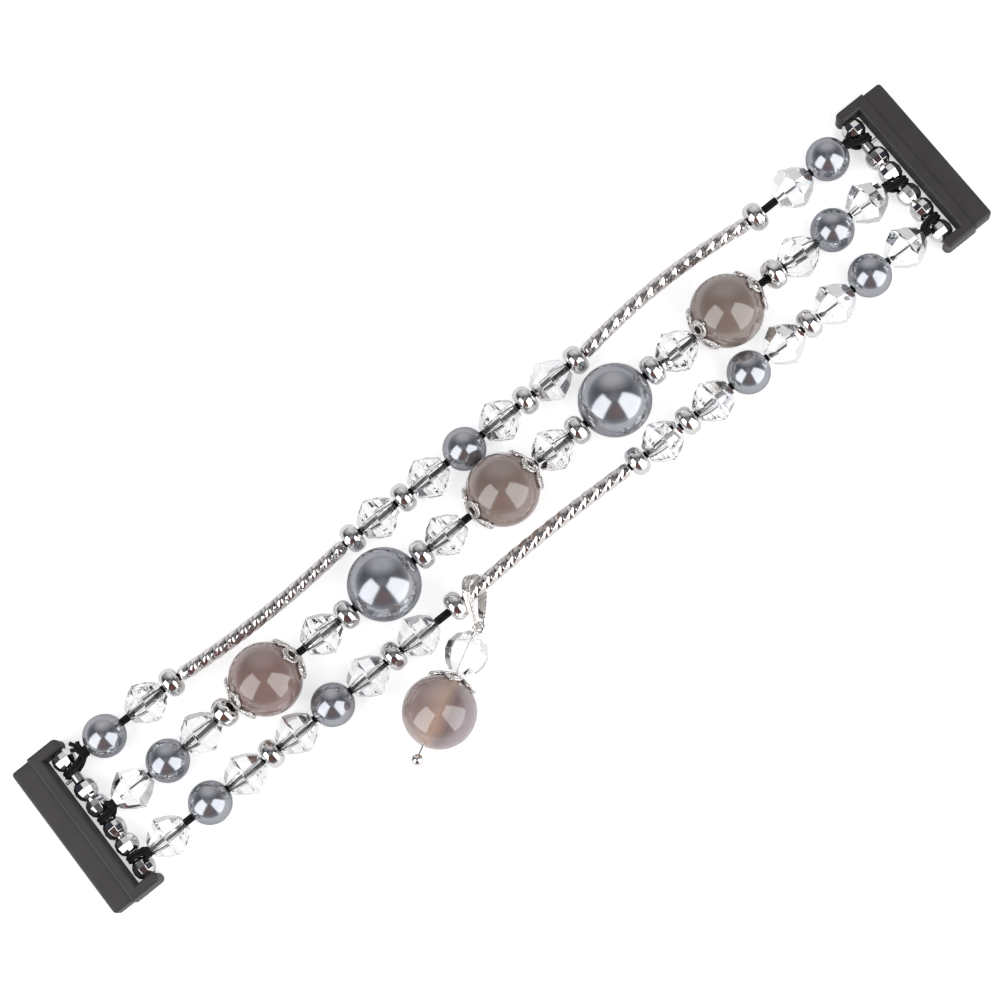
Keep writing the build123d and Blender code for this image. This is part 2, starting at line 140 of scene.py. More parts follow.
room = bpy.data.worlds.new("room")
room.use_nodes = True
bpy.context.scene.world = room
room_nodes = room.node_tree.nodes
room_links = room.node_tree.links
room_nodes.clear()
towards_wall = room_nodes.new("ShaderNodeTexCoord").outputs["Generated"]
room_height = room_nodes.new("ShaderNodeSeparateXYZ")
room_links.new(towards_wall, room_height.inputs["Vector"])
room_ramp = room_nodes.new("ShaderNodeValToRGB")
room_stops = (
    (0.0, (0.45, 0.45, 0.46)),
    (0.25, (0.155, 0.158, 0.18)),
    (0.50, (0.038, 0.042, 0.056)),
    (0.94, (0.032, 0.035, 0.050)),
    (1.0, (0.26, 0.25, 0.26)),
)
set_colour_stops(room_ramp, room_stops)
room_links.new(room_height.outputs["Z"], room_ramp.inputs["Fac"])


def add_wall(base, direction, stops, colour):
    """Fades the room's light to a colour around a direction, given along the picture's axes."""
    near = room_nodes.new("ShaderNodeVectorMath")
    near.operation = "DOT_PRODUCT"
    near.inputs[1].default_value = (picture_axes @ Vector(direction)).normalized()
    room_links.new(towards_wall, near.inputs[0])
    ramp = room_nodes.new("ShaderNodeValToRGB")
    set_colour_stops(ramp, [(place, (share, share, share)) for place, share in stops])
    room_links.new(near.outputs["Value"], ramp.inputs["Fac"])
    mix = room_nodes.new("ShaderNodeMix")
    mix.data_type = "RGBA"
    room_links.new(ramp.outputs["Color"], mix.inputs["Factor"])
    room_links.new(base, mix.inputs["A"])
    mix.inputs["B"].default_value = (*colour, 1)
    return mix.outputs["Result"]


def maths(tree, operation, *values):
    """A math node's result, worked out from numbers or from other nodes' results."""
    node = tree.nodes.new("ShaderNodeMath")
    node.operation = operation
    for socket, value in zip(node.inputs, values):
        if isinstance(value, bpy.types.NodeSocket):
            tree.links.new(value, socket)
        else:
            socket.default_value = value
    return node.outputs["Value"]


camera_side = (0.0, -0.62, 0.78)
camera_stops = ((0.84, 0.0), (0.94, 0.6), (0.99, 1.0))
far_side = (-0.12, 0.94, 0.34)
far_stops = ((0.66, 0.0), (0.80, 0.35), (0.97, 1.0))
walls = add_wall(room_ramp.outputs["Color"], camera_side, camera_stops, (0.18, 0.085, 0.07))
walls = add_wall(walls, far_side, far_stops, (0.74, 0.725, 0.73))
room_light = room_nodes.new("ShaderNodeBackground")
room_links.new(walls, room_light.inputs["Color"])
white_backdrop = room_nodes.new("ShaderNodeBackground")
white_backdrop.inputs["Color"].default_value = (1, 1, 1, 1)
room_rays = room_nodes.new("ShaderNodeLightPath").outputs
clear_share = 0.8
clear_view = maths(room.node_tree, "MULTIPLY", room_rays["Is Transmission Ray"], clear_share)
white_view = maths(room.node_tree, "MAXIMUM", room_rays["Is Camera Ray"], clear_view)
room_choice = room_nodes.new("ShaderNodeMixShader")
room_links.new(white_view, room_choice.inputs["Fac"])
room_links.new(room_light.outputs["Background"], room_choice.inputs[1])
room_links.new(white_backdrop.outputs["Background"], room_choice.inputs[2])
room_out = room_nodes.new("ShaderNodeOutputWorld")
room_links.new(room_choice.outputs["Shader"], room_out.inputs["Surface"])


def shaded(name, values):
    """A new material, its shader's own sockets set to the given values."""
    material = bpy.data.materials.new(name)
    material.use_nodes = True
    shader = material.node_tree.nodes["Principled BSDF"]
    for socket, value in values.items():
        shader.inputs[socket].default_value = value
    return material


def clouds(material, size, stretch=(1, 1, 1), detail=3.0):
    """Soft noise on the piece, with patches of a size in millimetres, stretched along each axis."""
    nodes, links = material.node_tree.nodes, material.node_tree.links
    place = nodes.new("ShaderNodeTexCoord")
    scaled = nodes.new("ShaderNodeMapping")
    scaled.inputs["Scale"].default_value = [1 / (mm * size * share) for share in stretch]
    noise = nodes.new("ShaderNodeTexNoise")
    noise.inputs["Scale"].default_value = 1.0
    noise.inputs["Detail"].default_value = detail
    links.new(place.outputs["Object"], scaled.inputs["Vector"])
    links.new(scaled.outputs["Vector"], noise.inputs["Vector"])
    return noise.outputs[0]


def colour_by(material, pattern, stops, socket="Base Color"):
    """Colours the shader by a pattern, through a ramp of stops."""
    nodes, links = material.node_tree.nodes, material.node_tree.links
    ramp = nodes.new("ShaderNodeValToRGB")
    set_colour_stops(ramp, stops)
    links.new(pattern, ramp.inputs["Fac"])
    links.new(ramp.outputs["Color"], nodes["Principled BSDF"].inputs[socket])


def roughen_by(material, pattern, least, most):
    """Lets the roughness wander between two values with a pattern."""
    nodes, links = material.node_tree.nodes, material.node_tree.links
    spread = nodes.new("ShaderNodeMapRange")
    spread.inputs["To Min"].default_value = least
    spread.inputs["To Max"].default_value = most
    links.new(pattern, spread.inputs["Value"])
    links.new(spread.outputs["Result"], nodes["Principled BSDF"].inputs["Roughness"])


def bump_by(material, pattern, height):
    """Raises the surface by a pattern, by a height in metres."""
    nodes, links = material.node_tree.nodes, material.node_tree.links
    bump = nodes.new("ShaderNodeBump")
    bump.inputs["Distance"].default_value = height
    links.new(pattern, bump.inputs["Height"])
    links.new(bump.outputs["Normal"], nodes["Principled BSDF"].inputs["Normal"])


floor_paper = shaded("floor_paper", {"Roughness": 0.9, "Emission Color": (1, 1, 1, 1)})
paper_fibres = clouds(floor_paper, 0.8)
colour_by(floor_paper, paper_fibres, ((0.3, (0.87, 0.87, 0.87)), (0.7, (0.9, 0.9, 0.9))))
seen_glow = 0.55
mirrored_glow = 0.10
floor_tree = floor_paper.node_tree
floor_rays = floor_tree.nodes.new("ShaderNodeLightPath").outputs
seen = maths(floor_tree, "MAXIMUM", floor_rays["Is Camera Ray"], floor_rays["Is Transmission Ray"])
glow = maths(floor_tree, "MULTIPLY", seen, seen_glow)
glow = maths(floor_tree, "MULTIPLY_ADD", floor_rays["Is Glossy Ray"], mirrored_glow, glow)
floor_tree.links.new(glow, floor_tree.nodes["Principled BSDF"].inputs["Emission Strength"])

reach = 4.0
floor_mesh = bpy.data.meshes.new("floor")
floor_corners = ((-reach, -reach, 0), (reach, -reach, 0), (reach, reach, 0), (-reach, reach, 0))
floor_mesh.from_pydata(floor_corners, [], [(0, 1, 2, 3)])
floor_mesh.materials.append(floor_paper)
floor = bpy.data.objects.new("floor", floor_mesh)
shown.link(floor)

# A band that swings or wraps reaches below the floor, so the floor sinks to stay under it.
# Marks ride at the corners of each body, and the floor keeps below every mark.
body_nodes = frame["record"]["behaviour"]["bodies"]
for body, nodes in body_nodes.items():
    solid_nodes = [frame["nodes"][node] for node in nodes if not node.endswith("_elastic")]
    corners = [corner for node in solid_nodes for corner in node.bound_box]
    spans = [(min(places), max(places)) for places in zip(*corners)]
    for place in product(*spans):
        mark = bpy.data.objects.new(f"{body}_mark", None)
        mark.location = place
        shown.link(mark)
        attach(mark, body)
        floor_limit = floor.constraints.new("FLOOR")
        floor_limit.target = mark
        floor_limit.floor_location = "FLOOR_NEGATIVE_Z"


# The two connectors that clip to the watch case: charcoal moulded plastic with a satin skin.
# Each is one moulding, with a tongue on its outer side and two arms for the spring bar.
moulded_plastic = shaded("moulded_plastic", {"IOR": 1.47, "Specular IOR Level": 0.45})
colour_by(
    moulded_plastic,
    clouds(moulded_plastic, 3.0),
    ((0.3, (0.046, 0.042, 0.043)), (0.7, (0.056, 0.051, 0.052))),
)
roughen_by(moulded_plastic, clouds(moulded_plastic, 0.7), 0.40, 0.52)
bump_by(moulded_plastic, clouds(moulded_plastic, 0.09), 0.004 * mm)


def refinish(node, material):
    """Gives a CAD node that keeps its shape a new material."""
    slots = frame["nodes"][node].data.materials
    slots.clear()
    slots.append(material)


for side in ("left", "right"):
    refinish(f"{side}_connector", moulded_plastic)


# The spring bars that join the band to the connectors: a drawn steel barrel, a plunger with
# a release lever, and the coil spring inside. The plunger is crimped into the barrel, and the
# coil is a fixed copy of the CAD spring that rides on its connector.
bar_steel = shaded("bar_steel", {"Metallic": 1.0})
turning_marks = clouds(bar_steel, 0.12, stretch=(4, 1, 4))
colour_by(bar_steel, turning_marks, ((0.3, (0.50, 0.49, 0.48)), (0.7, (0.66, 0.65, 0.64))))
roughen_by(bar_steel, turning_marks, 0.18, 0.32)
bump_by(bar_steel, turning_marks, 0.003 * mm)
for side in ("left", "right"):
    refinish(f"{side}_spring_bar", bar_steel)
    refinish(f"{side}_release_pin", bar_steel)
    cad_coil = frame["nodes"][f"{side}_bar_spring"]
    coil = bpy.data.objects.new(f"{side}_coil", cad_coil.data.copy())
    coil.data.materials.clear()
    coil.data.materials.append(bar_steel)
    shown.link(coil)
    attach(coil, f"{side}_connector")
    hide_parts(f"{side}_bar_spring")
    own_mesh(coil)


# The faceted beads on the spring bars: steel beads, plated bright, with facets ground flat
# round a drilled barrel. They slide on the bar and keep the elastic's loops apart.
bright_silver = shaded("bright_silver", {"Metallic": 1.0})
polish_marks = clouds(bright_silver, 0.6)
colour_by(bright_silver, polish_marks, ((0.3, (0.80, 0.79, 0.78)), (0.7, (0.88, 0.87, 0.86))))
roughen_by(bright_silver, polish_marks, 0.03, 0.09)

weld_distance = 0.0001 * mm
small_height = 2.95 * mm
large_height = 4.95 * mm
climb_rise = 2.0 * mm
climb_slope = 2.0 / 8.3
height_slack = 0.1 * mm


def aimed(centre, direction, upwards=(0, 0, 1)):
    """A place whose z axis runs along a direction and whose y axis is turned upwards."""
    z_axis = Vector(direction).normalized()
    x_axis = Vector(upwards).cross(z_axis).normalized()
    place = Matrix((x_axis, z_axis.cross(x_axis), z_axis)).transposed().to_4x4()
    place.translation = centre
    return place


def bead_centres(node):
    """The middle of each bead of a CAD node, in order along the band."""
    solid = bmesh.new()
    solid.from_mesh(frame["nodes"][node].data)
    bmesh.ops.remove_doubles(solid, verts=solid.verts, dist=weld_distance)
    unseen = set(solid.verts)
    centres = []
    while unseen:
        bead = [unseen.pop()]
        for corner in bead:
            for edge in corner.link_edges:
                other = edge.other_vert(corner)
                if other in unseen:
                    unseen.remove(other)
                    bead.append(other)
        low = Vector([min(corner.co[axis] for corner in bead) for axis in range(3)])
        high = Vector([max(corner.co[axis] for corner in bead) for axis in range(3)])
        centres.append((low + high) / 2)
    solid.free()
    return sorted(centres, key=lambda centre: (round(centre.x, 5), round(centre.y, 5)))


def strung_places(node):
    """Where each bead of a CAD node sits on its elastic: the z axis is its hole."""
    places = []
    for centre in bead_centres(node):
        climbs = small_height + height_slack < centre.z < large_height - height_slack
        slope = climb_slope if climbs else 0
        along = (1, 0, -slope if centre.x > 0 else slope)
        places.append(aimed(centre, along))
    return places


def body_of(node):
    """The CAD body that carries a node."""
    return next(body for body, nodes in body_nodes.items() if node in nodes)


def new_piece(name, work, material, crease=radians(32), edge_material=None):
    """Makes a finished bmesh an object, smooth but for edges sharper than the crease."""
    bmesh.ops.recalc_face_normals(work, faces=work.faces)
    mesh = bpy.data.meshes.new(name)
    work.to_mesh(mesh)
    work.free()
    mesh.materials.append(material)
    mesh.materials.append(edge_material or material)
    mesh.shade_smooth()
    mesh.set_sharp_from_angle(angle=crease)
    piece = bpy.data.objects.new(name, mesh)
    shown.link(piece)
    return piece


def stands_for(piece, *nodes):
    """The piece replaces CAD nodes of one body and rides on that body."""
    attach(piece, body_of(nodes[0]))
    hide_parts(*nodes)


def bridge_rings(work, rings, closed=False):
    """Joins rings of corners with faces, one after another."""
    pairs = list(zip(rings, rings[1:]))
    if closed:
        pairs.append((rings[-1], rings[0]))
    for first, second in pairs:
        for corner in range(len(first)):
            after = (corner + 1) % len(first)
            work.faces.new((first[corner], first[after], second[after], second[corner]))


def circle(count, turn=0.0):
    """Even places round a circle of radius one, from a turn on."""
    angles = [2 * pi * number / count + turn for number in range(count)]
    return [(cos(angle), sin(angle)) for angle in angles]


def cut_bead(work, place, heights, radii, sides, bore, edge, turns, unbroken=()):
    """Adds a faceted bead: polygons stacked along its hole, each turned, the edges just broken."""
    outside = []
    for height, radius, turn in zip(heights, radii, turns):
        ring = [(radius * x, radius * y, height) for x, y in circle(sides, turn)]
        outside.append([work.verts.new(corner) for corner in ring])
    bridge_rings(work, outside)
    for lower, upper, first, second in zip(outside, outside[1:], turns, turns[1:]):
        if first != second:
            between = {face for corner in lower for face in corner.link_faces}
            between &= {face for corner in upper for face in corner.link_faces}
            work.faces.index_update()
            band = sorted(between, key=lambda face: face.index)
            bmesh.ops.triangulate(work, faces=band, quad_method="SHORT_EDGE")
    ends = []
    for end in (0, -1):
        ring = [(bore * x, bore * y, heights[end]) for x, y in circle(sides, turns[end])]
        ends.append([work.verts.new(corner) for corner in ring])
        bridge_rings(work, [outside[end], ends[-1]])
    bridge_rings(work, ends)
    corners = {corner for ring in outside + ends for corner in ring}
    facet_edges = {line for ring in outside for corner in ring for line in corner.link_edges}
    for number in unbroken:
        ring = outside[number]
        facet_edges -= {line for line in facet_edges if line.verts[0] in ring and line.verts[1] in ring}
    work.edges.index_update()
    broken = sorted(facet_edges, key=lambda line: line.index)
    result = bmesh.ops.bevel(work, geom=broken, offset=edge, segments=1, affect="EDGES")
    corners.update(result["verts"])
    for face in result["faces"]:
        face.material_index = 1
    whole = [corner for corner in corners if corner.is_valid]
    bmesh.ops.transform(work, matrix=place, verts=whole)


facet_bead_radius = 1.65 * mm
facet_bead_half = 1.3 * mm
facet_bead_bore = 0.80 * mm
facet_bead_sides = 10
facet_edge = 0.028 * mm
facet_crease = radians(8)
facet_height_shares = (-1.0, -0.62, 0.0, 0.62, 1.0)
facet_radius_shares = (0.6, 0.88, 1.0, 0.88, 0.6)
facet_turns = (0.0, 14.0, 31.0, 5.0, 22.0, 15.0)
for side in ("left", "right"):
    work = bmesh.new()
    for centre, turn in zip(bead_centres(f"{side}_facet_beads"), facet_turns):
        cut_bead(
            work,
            aimed(centre, (0, 1, 0)),
            [share * facet_bead_half for share in facet_height_shares],
            [share * facet_bead_radius for share in facet_radius_shares],
            facet_bead_sides,
            facet_bead_bore,
            facet_edge,
            [radians(turn)] * len(facet_height_shares),
        )
    beads = new_piece(f"{side}_ground_beads", work, bright_silver, crease=facet_crease)
    stands_for(beads, f"{side}_facet_beads")


# The elastic: black stretch cord, doubled through every bead, looped round each spring bar
# and knotted against the first bead. Its short bare lengths show between the beads.
black_cord = shaded("black_cord", {"Specular IOR Level": 0.22})
cord_fibres = clouds(black_cord, 0.09, stretch=(9, 1, 1))
colour_by(black_cord, cord_fibres, ((0.35, (0.004, 0.0035, 0.004)), (0.75, (0.022, 0.019, 0.019))))
roughen_by(black_cord, cord_fibres, 0.6, 0.85)
bump_by(black_cord, cord_fibres, 0.03 * mm)

strand_radius = 0.27 * mm
stretched_radius = 0.20 * mm
strand_step = 0.25 * mm
crystal_reach = 3.0 * mm
crystal_fade = 0.7 * mm
strand_sides = 12
strand_sway = 0.3
sway_length = 4.3 * mm
cord_crease = radians(50)
loop_radius = 1.06 * mm
loop_offset = 0.25 * mm
loop_strand_radius = 0.27 * mm
bar_x = 67.6 * mm
bar_z = 1.9 * mm
row_heights = {"upper": 7.95 * mm, "middle": 0.0, "lower": -7.95 * mm}
loop_heights = {"upper": 7.095 * mm, "middle": -0.575 * mm, "lower": -7.095 * mm}
knot_starts = {"upper": (-64.15 * mm, 65.15 * mm), "middle": (-65.15 * mm, 65.15 * mm)}
knot_starts["lower"] = knot_starts["middle"]
tube_bows = {"upper_left_tube": -0.7 * mm, "upper_right_tube": 1.1 * mm, "lower_middle_tube": 0.35 * mm}
tube_spans = {tube: [corner.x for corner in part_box(tube)] for tube in tube_bows}
climb_places = (-53.45 * mm, -45.15 * mm, 44.65 * mm, 53.45 * mm)
bicone_nodes = (
    "left_bicones",
    "upper_left_inner_bicones",
    "upper_right_inner_bicones",
    "middle_left_inner_bicones",
    "middle_right_inner_bicones",
    "lower_left_bicones",
    "lower_left_inner_bicone",
    "lower_right_inner_bicone",
    "lower_right_bicones",
    "right_bicones",
)
bicone_centres = [centre for node in bicone_nodes for centre in bead_centres(node)]
row_reach = 4.0 * mm


def row_point(row, x):
    """A point of a row's line of holes, which follows the curved tubes and the large beads."""
    y = row_heights[row]
    z = small_height
    for tube, bow in tube_bows.items():
        start, end = tube_spans[tube]
        if tube.startswith(row) and start < x < end:
            across = (2 * x - start - end) / (end - start)
            y += bow * (1 - across * across)
    if row == "middle":
        start, top, fall, end = climb_places
        share = min((x - start) / (top - start), (end - x) / (end - fall), 1.0)
        z += max(share, 0.0) * climb_rise
    return Vector((x, y, z))


def wire(work, points, radii, sides=strand_sides, closed=False):
    """Adds a round wire along points, with a radius for each point."""
    count = len(points)
    rings = []
    across = None
    for number, point in enumerate(points):
        before = points[number - 1] if number or closed else point
        after = points[(number + 1) % count] if number + 1 < count or closed else point
        along = (after - before).normalized()
        if across is None:
            across = along.orthogonal()
        across = (across - along * across.dot(along)).normalized()
        beside = along.cross(across)
        ring = [point + (across * x + beside * y) * radii[number] for x, y in circle(sides)]
        rings.append([work.verts.new(corner) for corner in ring])
    bridge_rings(work, rings, closed)
    if not closed:
        work.faces.new(rings[0])
        work.faces.new(rings[-1])


def strand_pair(work, row, start, end):
    """Adds a row's two strands between two places, side by side, but one over the other in crystals."""
    steps = max(2, round((end - start) / strand_step))
    crystals = [centre.x for centre in bicone_centres if abs(centre.y - row_heights[row]) < row_reach]
    for side in (-1, 1):
        points = []
        radii = []
        for step in range(steps + 1):
            x = start + (end - start) * step / steps
            nearest = min(abs(x - crystal) for crystal in crystals)
            stretch = min(max((crystal_reach - nearest) / crystal_fade, 0.0), 1.0)
            twist = pi / 2 * stretch + strand_sway * sin(x / sway_length) * (1 - stretch)
            radius = strand_radius + (stretched_radius - strand_radius) * stretch
            beside = Vector((0, cos(twist), sin(twist))) * radius * side
            points.append(row_point(row, x) + beside)
            radii.append(radius)
        wire(work, points, radii)


loop_steps = 22
leg_shares = (0.35, 0.7, 1.0)
leg_spread_share = 1.4
leg_lift = 0.2 * mm
knot_inset = 0.45 * mm
knot_radius = 0.46 * mm
loose_knots = {("upper", -1): 0.54 * mm, ("middle", -1): 0.48 * mm}
knot_belly = 0.06 * mm
knot_turns = 3
knot_steps = 48
knot_length = 1.15 * mm
knot_start = -0.42 * mm
knot_strand_radius = 0.24 * mm


def bar_loop(work, row, side):
    """Adds the doubled loop round a spring bar, and the knot that holds it at the first bead."""
    bar = Vector((side * bar_x, loop_heights[row], bar_z))
    first = knot_starts[row][0 if side < 0 else 1]
    knot = row_point(row, first) + Vector((side * knot_inset, 0, 0))
    reach = knot - bar
    reach.y = 0
    lean = atan2(reach.z, reach.x)
    open_angle = acos(loop_radius / reach.length)
    for strand in (-1, 1):
        points = []
        shift = Vector((0, strand * loop_offset, 0))
        for step in range(loop_steps + 1):
            angle = lean + open_angle + (2 * pi - 2 * open_angle) * step / loop_steps
            out = Vector((cos(angle), 0, sin(angle))) * loop_radius
            points.append(bar + out + shift)
        for end, lift in ((0, -leg_lift), (-1, leg_lift)):
            tangent = points[end]
            target = knot + shift * leg_spread_share + Vector((0, 0, lift))
            leg = []
            for share in leg_shares:
                place = tangent.lerp(target, share)
                place.y = tangent.y + (target.y - tangent.y) * share * share
                leg.append(place)
            points = leg[::-1] + points if end == 0 else points + leg
        wire(work, points, [loop_strand_radius] * len(points))
    coil = []
    for step in range(knot_steps + 1):
        share = step / knot_steps
        angle = 2 * pi * knot_turns * share
        out = loose_knots.get((row, side), knot_radius) + knot_belly * sin(pi * share)
        x = knot.x + side * (share * knot_length + knot_start)
        coil.append(Vector((x, knot.y + out * cos(angle), knot.z + out * sin(angle))))
    wire(work, coil, [knot_strand_radius] * len(coil))


knot_tails = {
    ("upper", -1): ((-0.7, 2.1, 0.5), (0.3, 1.6, 0.7), (-1.1, 1.2, 0.6), (-0.6, -1.2, 0.9)),
    ("upper", 1): ((0.9, 0.9, 0.4),),
    ("middle", -1): ((-0.7, 0.8, 0.6),),
    ("middle", 1): ((0.8, -0.8, 0.5),),
    ("lower", -1): ((-0.8, -0.7, 0.5),),
    ("lower", 1): ((0.7, 0.9, 0.5),),
}
tail_inset = 0.6 * mm
tail_radius = 0.3 * mm
tail_bend_shares = (0.4, 0.6, 0.9)
tail_rise_shares = (0.7, 1.1)


def tail_ends(work, row, side):
    """Adds the cut ends of the strands, which bend out of a knot as far as the table says, in mm."""
    first = knot_starts[row][0 if side < 0 else 1]
    knot = row_point(row, first) + Vector((side * tail_inset, 0, 0))
    for tail in knot_tails[row, side]:
        reach = Vector(tail) * mm
        bent = reach * Vector(tail_bend_shares)
        points = [knot, *(knot + bent * share for share in tail_rise_shares), knot + reach]
        wire(work, points, [tail_radius] * len(points))


def cord_piece(name, row, start, end, sides):
    """One length of a row's elastic, with the loops and knots at the given ends of the band."""
    work = bmesh.new()
    strand_pair(work, row, start, end)
    for side in sides:
        bar_loop(work, row, side)
        tail_ends(work, row, side)
    piece = new_piece(name, work, black_cord, crease=cord_crease)
    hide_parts(f"{row}_elastic")
    return piece


hinges = [joint for joint in frame["joints"] if joint["type"] == "hinge"]
pivots = {(hinge["parent"], hinge["child"]): hinge["pos_m"][0] for hinge in hinges}
row_bodies = {}
for row, centre in (("upper", "upper_middle"), ("middle", "middle_centre"), ("lower", "lower_middle")):
    left_bodies = ("left_run", f"{row}_left", f"{row}_left_inner")
    row_bodies[row] = (*left_bodies, centre, f"{row}_right_inner", f"{row}_right")
row_bodies["middle"] += ("right_run",)
open_ends = {"upper": 48.41 * mm, "lower": 44.68 * mm}
bend_reach = 0.5 * mm
for row, bodies in row_bodies.items():
    bends = [pivots[pair] for pair in zip(bodies, bodies[1:])]
    last = open_ends.get(row, knot_starts[row][1])
    middles = [(first + second) / 2 for first, second in zip(bends, bends[1:])]
    cuts = [knot_starts[row][0], *middles, last]
    for number, bend in enumerate(bends):
        start, end = cuts[number], cuts[number + 1]
        sides = [-1] if number == 0 else []
        if bodies[-1] == "right_run" and number == len(bends) - 1:
            sides.append(1)
        piece = cord_piece(f"{row}_cord_{number + 1}", row, start, end, sides)
        before = row_point(row, bend) - Vector((bend_reach, 0, 0))
        after = row_point(row, bend) + Vector((bend_reach, 0, 0))
        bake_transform(piece)
    if row in open_ends:
        start = open_ends[row] - bend_reach
        piece = cord_piece(f"{row}_cord_end", row, start, knot_starts[row][1], [1])
        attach(piece, "right_run")


# The pearls: glass balls dipped in blue-grey pearl lacquer, drilled through, 6 and 10 mm.
# Their skin mirrors the studio, and is a little worn round the holes.
pearl_skin = shaded(
    "pearl_skin",
    {
        "Metallic": 0.82,
        "Specular Tint": (0.55, 0.55, 0.57, 1),
        "Coat Weight": 0.2,
        "Coat Roughness": 0.05,
    },
)
lacquer_tone = clouds(pearl_skin, 2.2)
colour_by(
    pearl_skin,
    lacquer_tone,
    ((0.3, (0.40, 0.42, 0.46)), (0.5, (0.435, 0.45, 0.485)), (0.72, (0.46, 0.465, 0.49))),
)
roughen_by(pearl_skin, clouds(pearl_skin, 0.8), 0.12, 0.20)
bump_by(pearl_skin, clouds(pearl_skin, 0.5), 0.002 * mm)

turned_sides = 56
rim_run_share = 0.15
rim_out_share = 0.4
rim_depth_share = 0.7


def turned(work, place, profile, sides=turned_sides):
    """Turns a closed profile of (along, out) points about the place's z axis, as a lathe does."""
    rings = []
    for along, out in profile:
        ring = [place @ Vector((out * x, out * y, along)) for x, y in circle(sides)]
        rings.append([work.verts.new(corner) for corner in ring])
    bridge_rings(work, rings, closed=True)


def drilled_ball(radius, bore, rim, steps=40):
    """The profile of a ball with a hole through it and a softened rim at each end."""
    widest = asin((bore + rim) / radius)
    profile = []
    for step in range(steps + 1):
        angle = widest + (pi - 2 * widest) * step / steps
        profile.append((-radius * cos(angle), radius * sin(angle)))
    end = profile[-1][0]
    profile.append((end - rim_run_share * rim, bore + rim_out_share * rim))
    profile.append((end - rim_depth_share * rim, bore))
    profile.append((rim_depth_share * rim - end, bore))
    profile.append((rim_run_share * rim - end, bore + rim_out_share * rim))
    return profile


hole_radius = 0.61 * mm
hole_rim = 0.14 * mm
pearl_radius = 2.95 * mm
large_radius = 4.95 * mm
small_pearl_nodes = (
    "left_pearls",
    "upper_middle_pearl",
    "lower_left_pearl",
    "lower_right_pearl",
    "right_pearls",
)
large_pearl_nodes = ("middle_left_inner_large_pearl", "middle_right_inner_large_pearl")
for nodes, radius in ((small_pearl_nodes, pearl_radius), (large_pearl_nodes, large_radius)):
    for node in nodes:
        work = bmesh.new()
        for place in strung_places(node):
            turned(work, place, drilled_ball(radius, hole_radius, hole_rim))
        piece = new_piece(f"{node}_lacquered", work, pearl_skin)
        stands_for(piece, node)


# The crystal bicones: clear lead-free crystal, cut as two pyramids base to base and drilled.
# The facets of one half meet the edges of the other, so the black elastic inside looks broken.
clear_crystal = shaded("clear_crystal", {"Roughness": 0.0, "IOR": 1.43, "Transmission Weight": 0.985})
crystal_tones = ((0.3, (0.86, 0.87, 0.88)), (0.7, (0.96, 0.965, 0.97)))
colour_by(clear_crystal, clouds(clear_crystal, 1.2), crystal_tones)
worn_edge = shaded("worn_edge", {"IOR": 1.4, "Transmission Weight": 0.7})
worn_marks = clouds(worn_edge, 0.25)
colour_by(worn_edge, worn_marks, ((0.3, (0.80, 0.80, 0.81)), (0.7, (0.97, 0.97, 0.97))))
roughen_by(worn_edge, worn_marks, 0.15, 0.6)

bicone_radius = 3.1 * mm
bicone_half = 2.75 * mm
bicone_height_shares = (-1.0, -0.6, -0.07, 0.07, 0.6, 1.0)
bicone_radius_shares = (0.41, 0.74, 1.0, 0.95, 0.72, 0.40)
bicone_inner_rings = (1, 4)
bicone_sides = 8
bicone_stagger = pi / bicone_sides
bicone_turns = (22.5, 19.0, 26.0)
crystal_edge = 0.035 * mm
crystal_crease = radians(4)
for node in bicone_nodes:
    work = bmesh.new()
    for number, place in enumerate(strung_places(node)):
        turn = radians(bicone_turns[number % len(bicone_turns)])
        cut_bead(
            work,
            place,
            [share * bicone_half for share in bicone_height_shares],
            [share * bicone_radius for share in bicone_radius_shares],
            bicone_sides,
            hole_radius,
            crystal_edge,
            [turn if share < 0 else turn - bicone_stagger for share in bicone_height_shares],
            bicone_inner_rings,
        )
    piece = new_piece(f"{node}_cut", work, clear_crystal, crystal_crease, worn_edge)
    stands_for(piece, node)


# The spacers: hollow steel rings pressed round and plated bright, with a full round rim.
# One sits on each side of a tube, a large pearl or a group of bicones.
spacer_radius = 2.0 * mm
spacer_half = 1.2 * mm
spacer_rim = 1.0 * mm
rim_steps = 10
rim_profile = []
for step in range(rim_steps + 1):
    angle = pi / 2 * step / rim_steps
    along = spacer_half - spacer_rim * (1 - sin(angle))
    out = spacer_radius - spacer_rim * (1 - cos(angle))
    rim_profile.append((along, out))
spacer_bore = 0.78 * mm
spacer_profile = [(-along, out) for along, out in rim_profile[::-1]] + rim_profile
spacer_profile += [(spacer_half, spacer_bore + hole_rim), (spacer_half - hole_rim, spacer_bore)]
spacer_profile += [(-spacer_half + hole_rim, spacer_bore), (-spacer_half, spacer_bore + hole_rim)]
inner_groups = [f"{row}_{side}_inner" for row in row_heights for side in ("left", "right")]
for group in ("left", *inner_groups, "right"):
    node = f"{group}_spacers"
    work = bmesh.new()
    for place in strung_places(node):
        turned(work, place, spacer_profile)
    piece = new_piece(f"{node}_pressed", work, bright_silver)
    stands_for(piece, node)


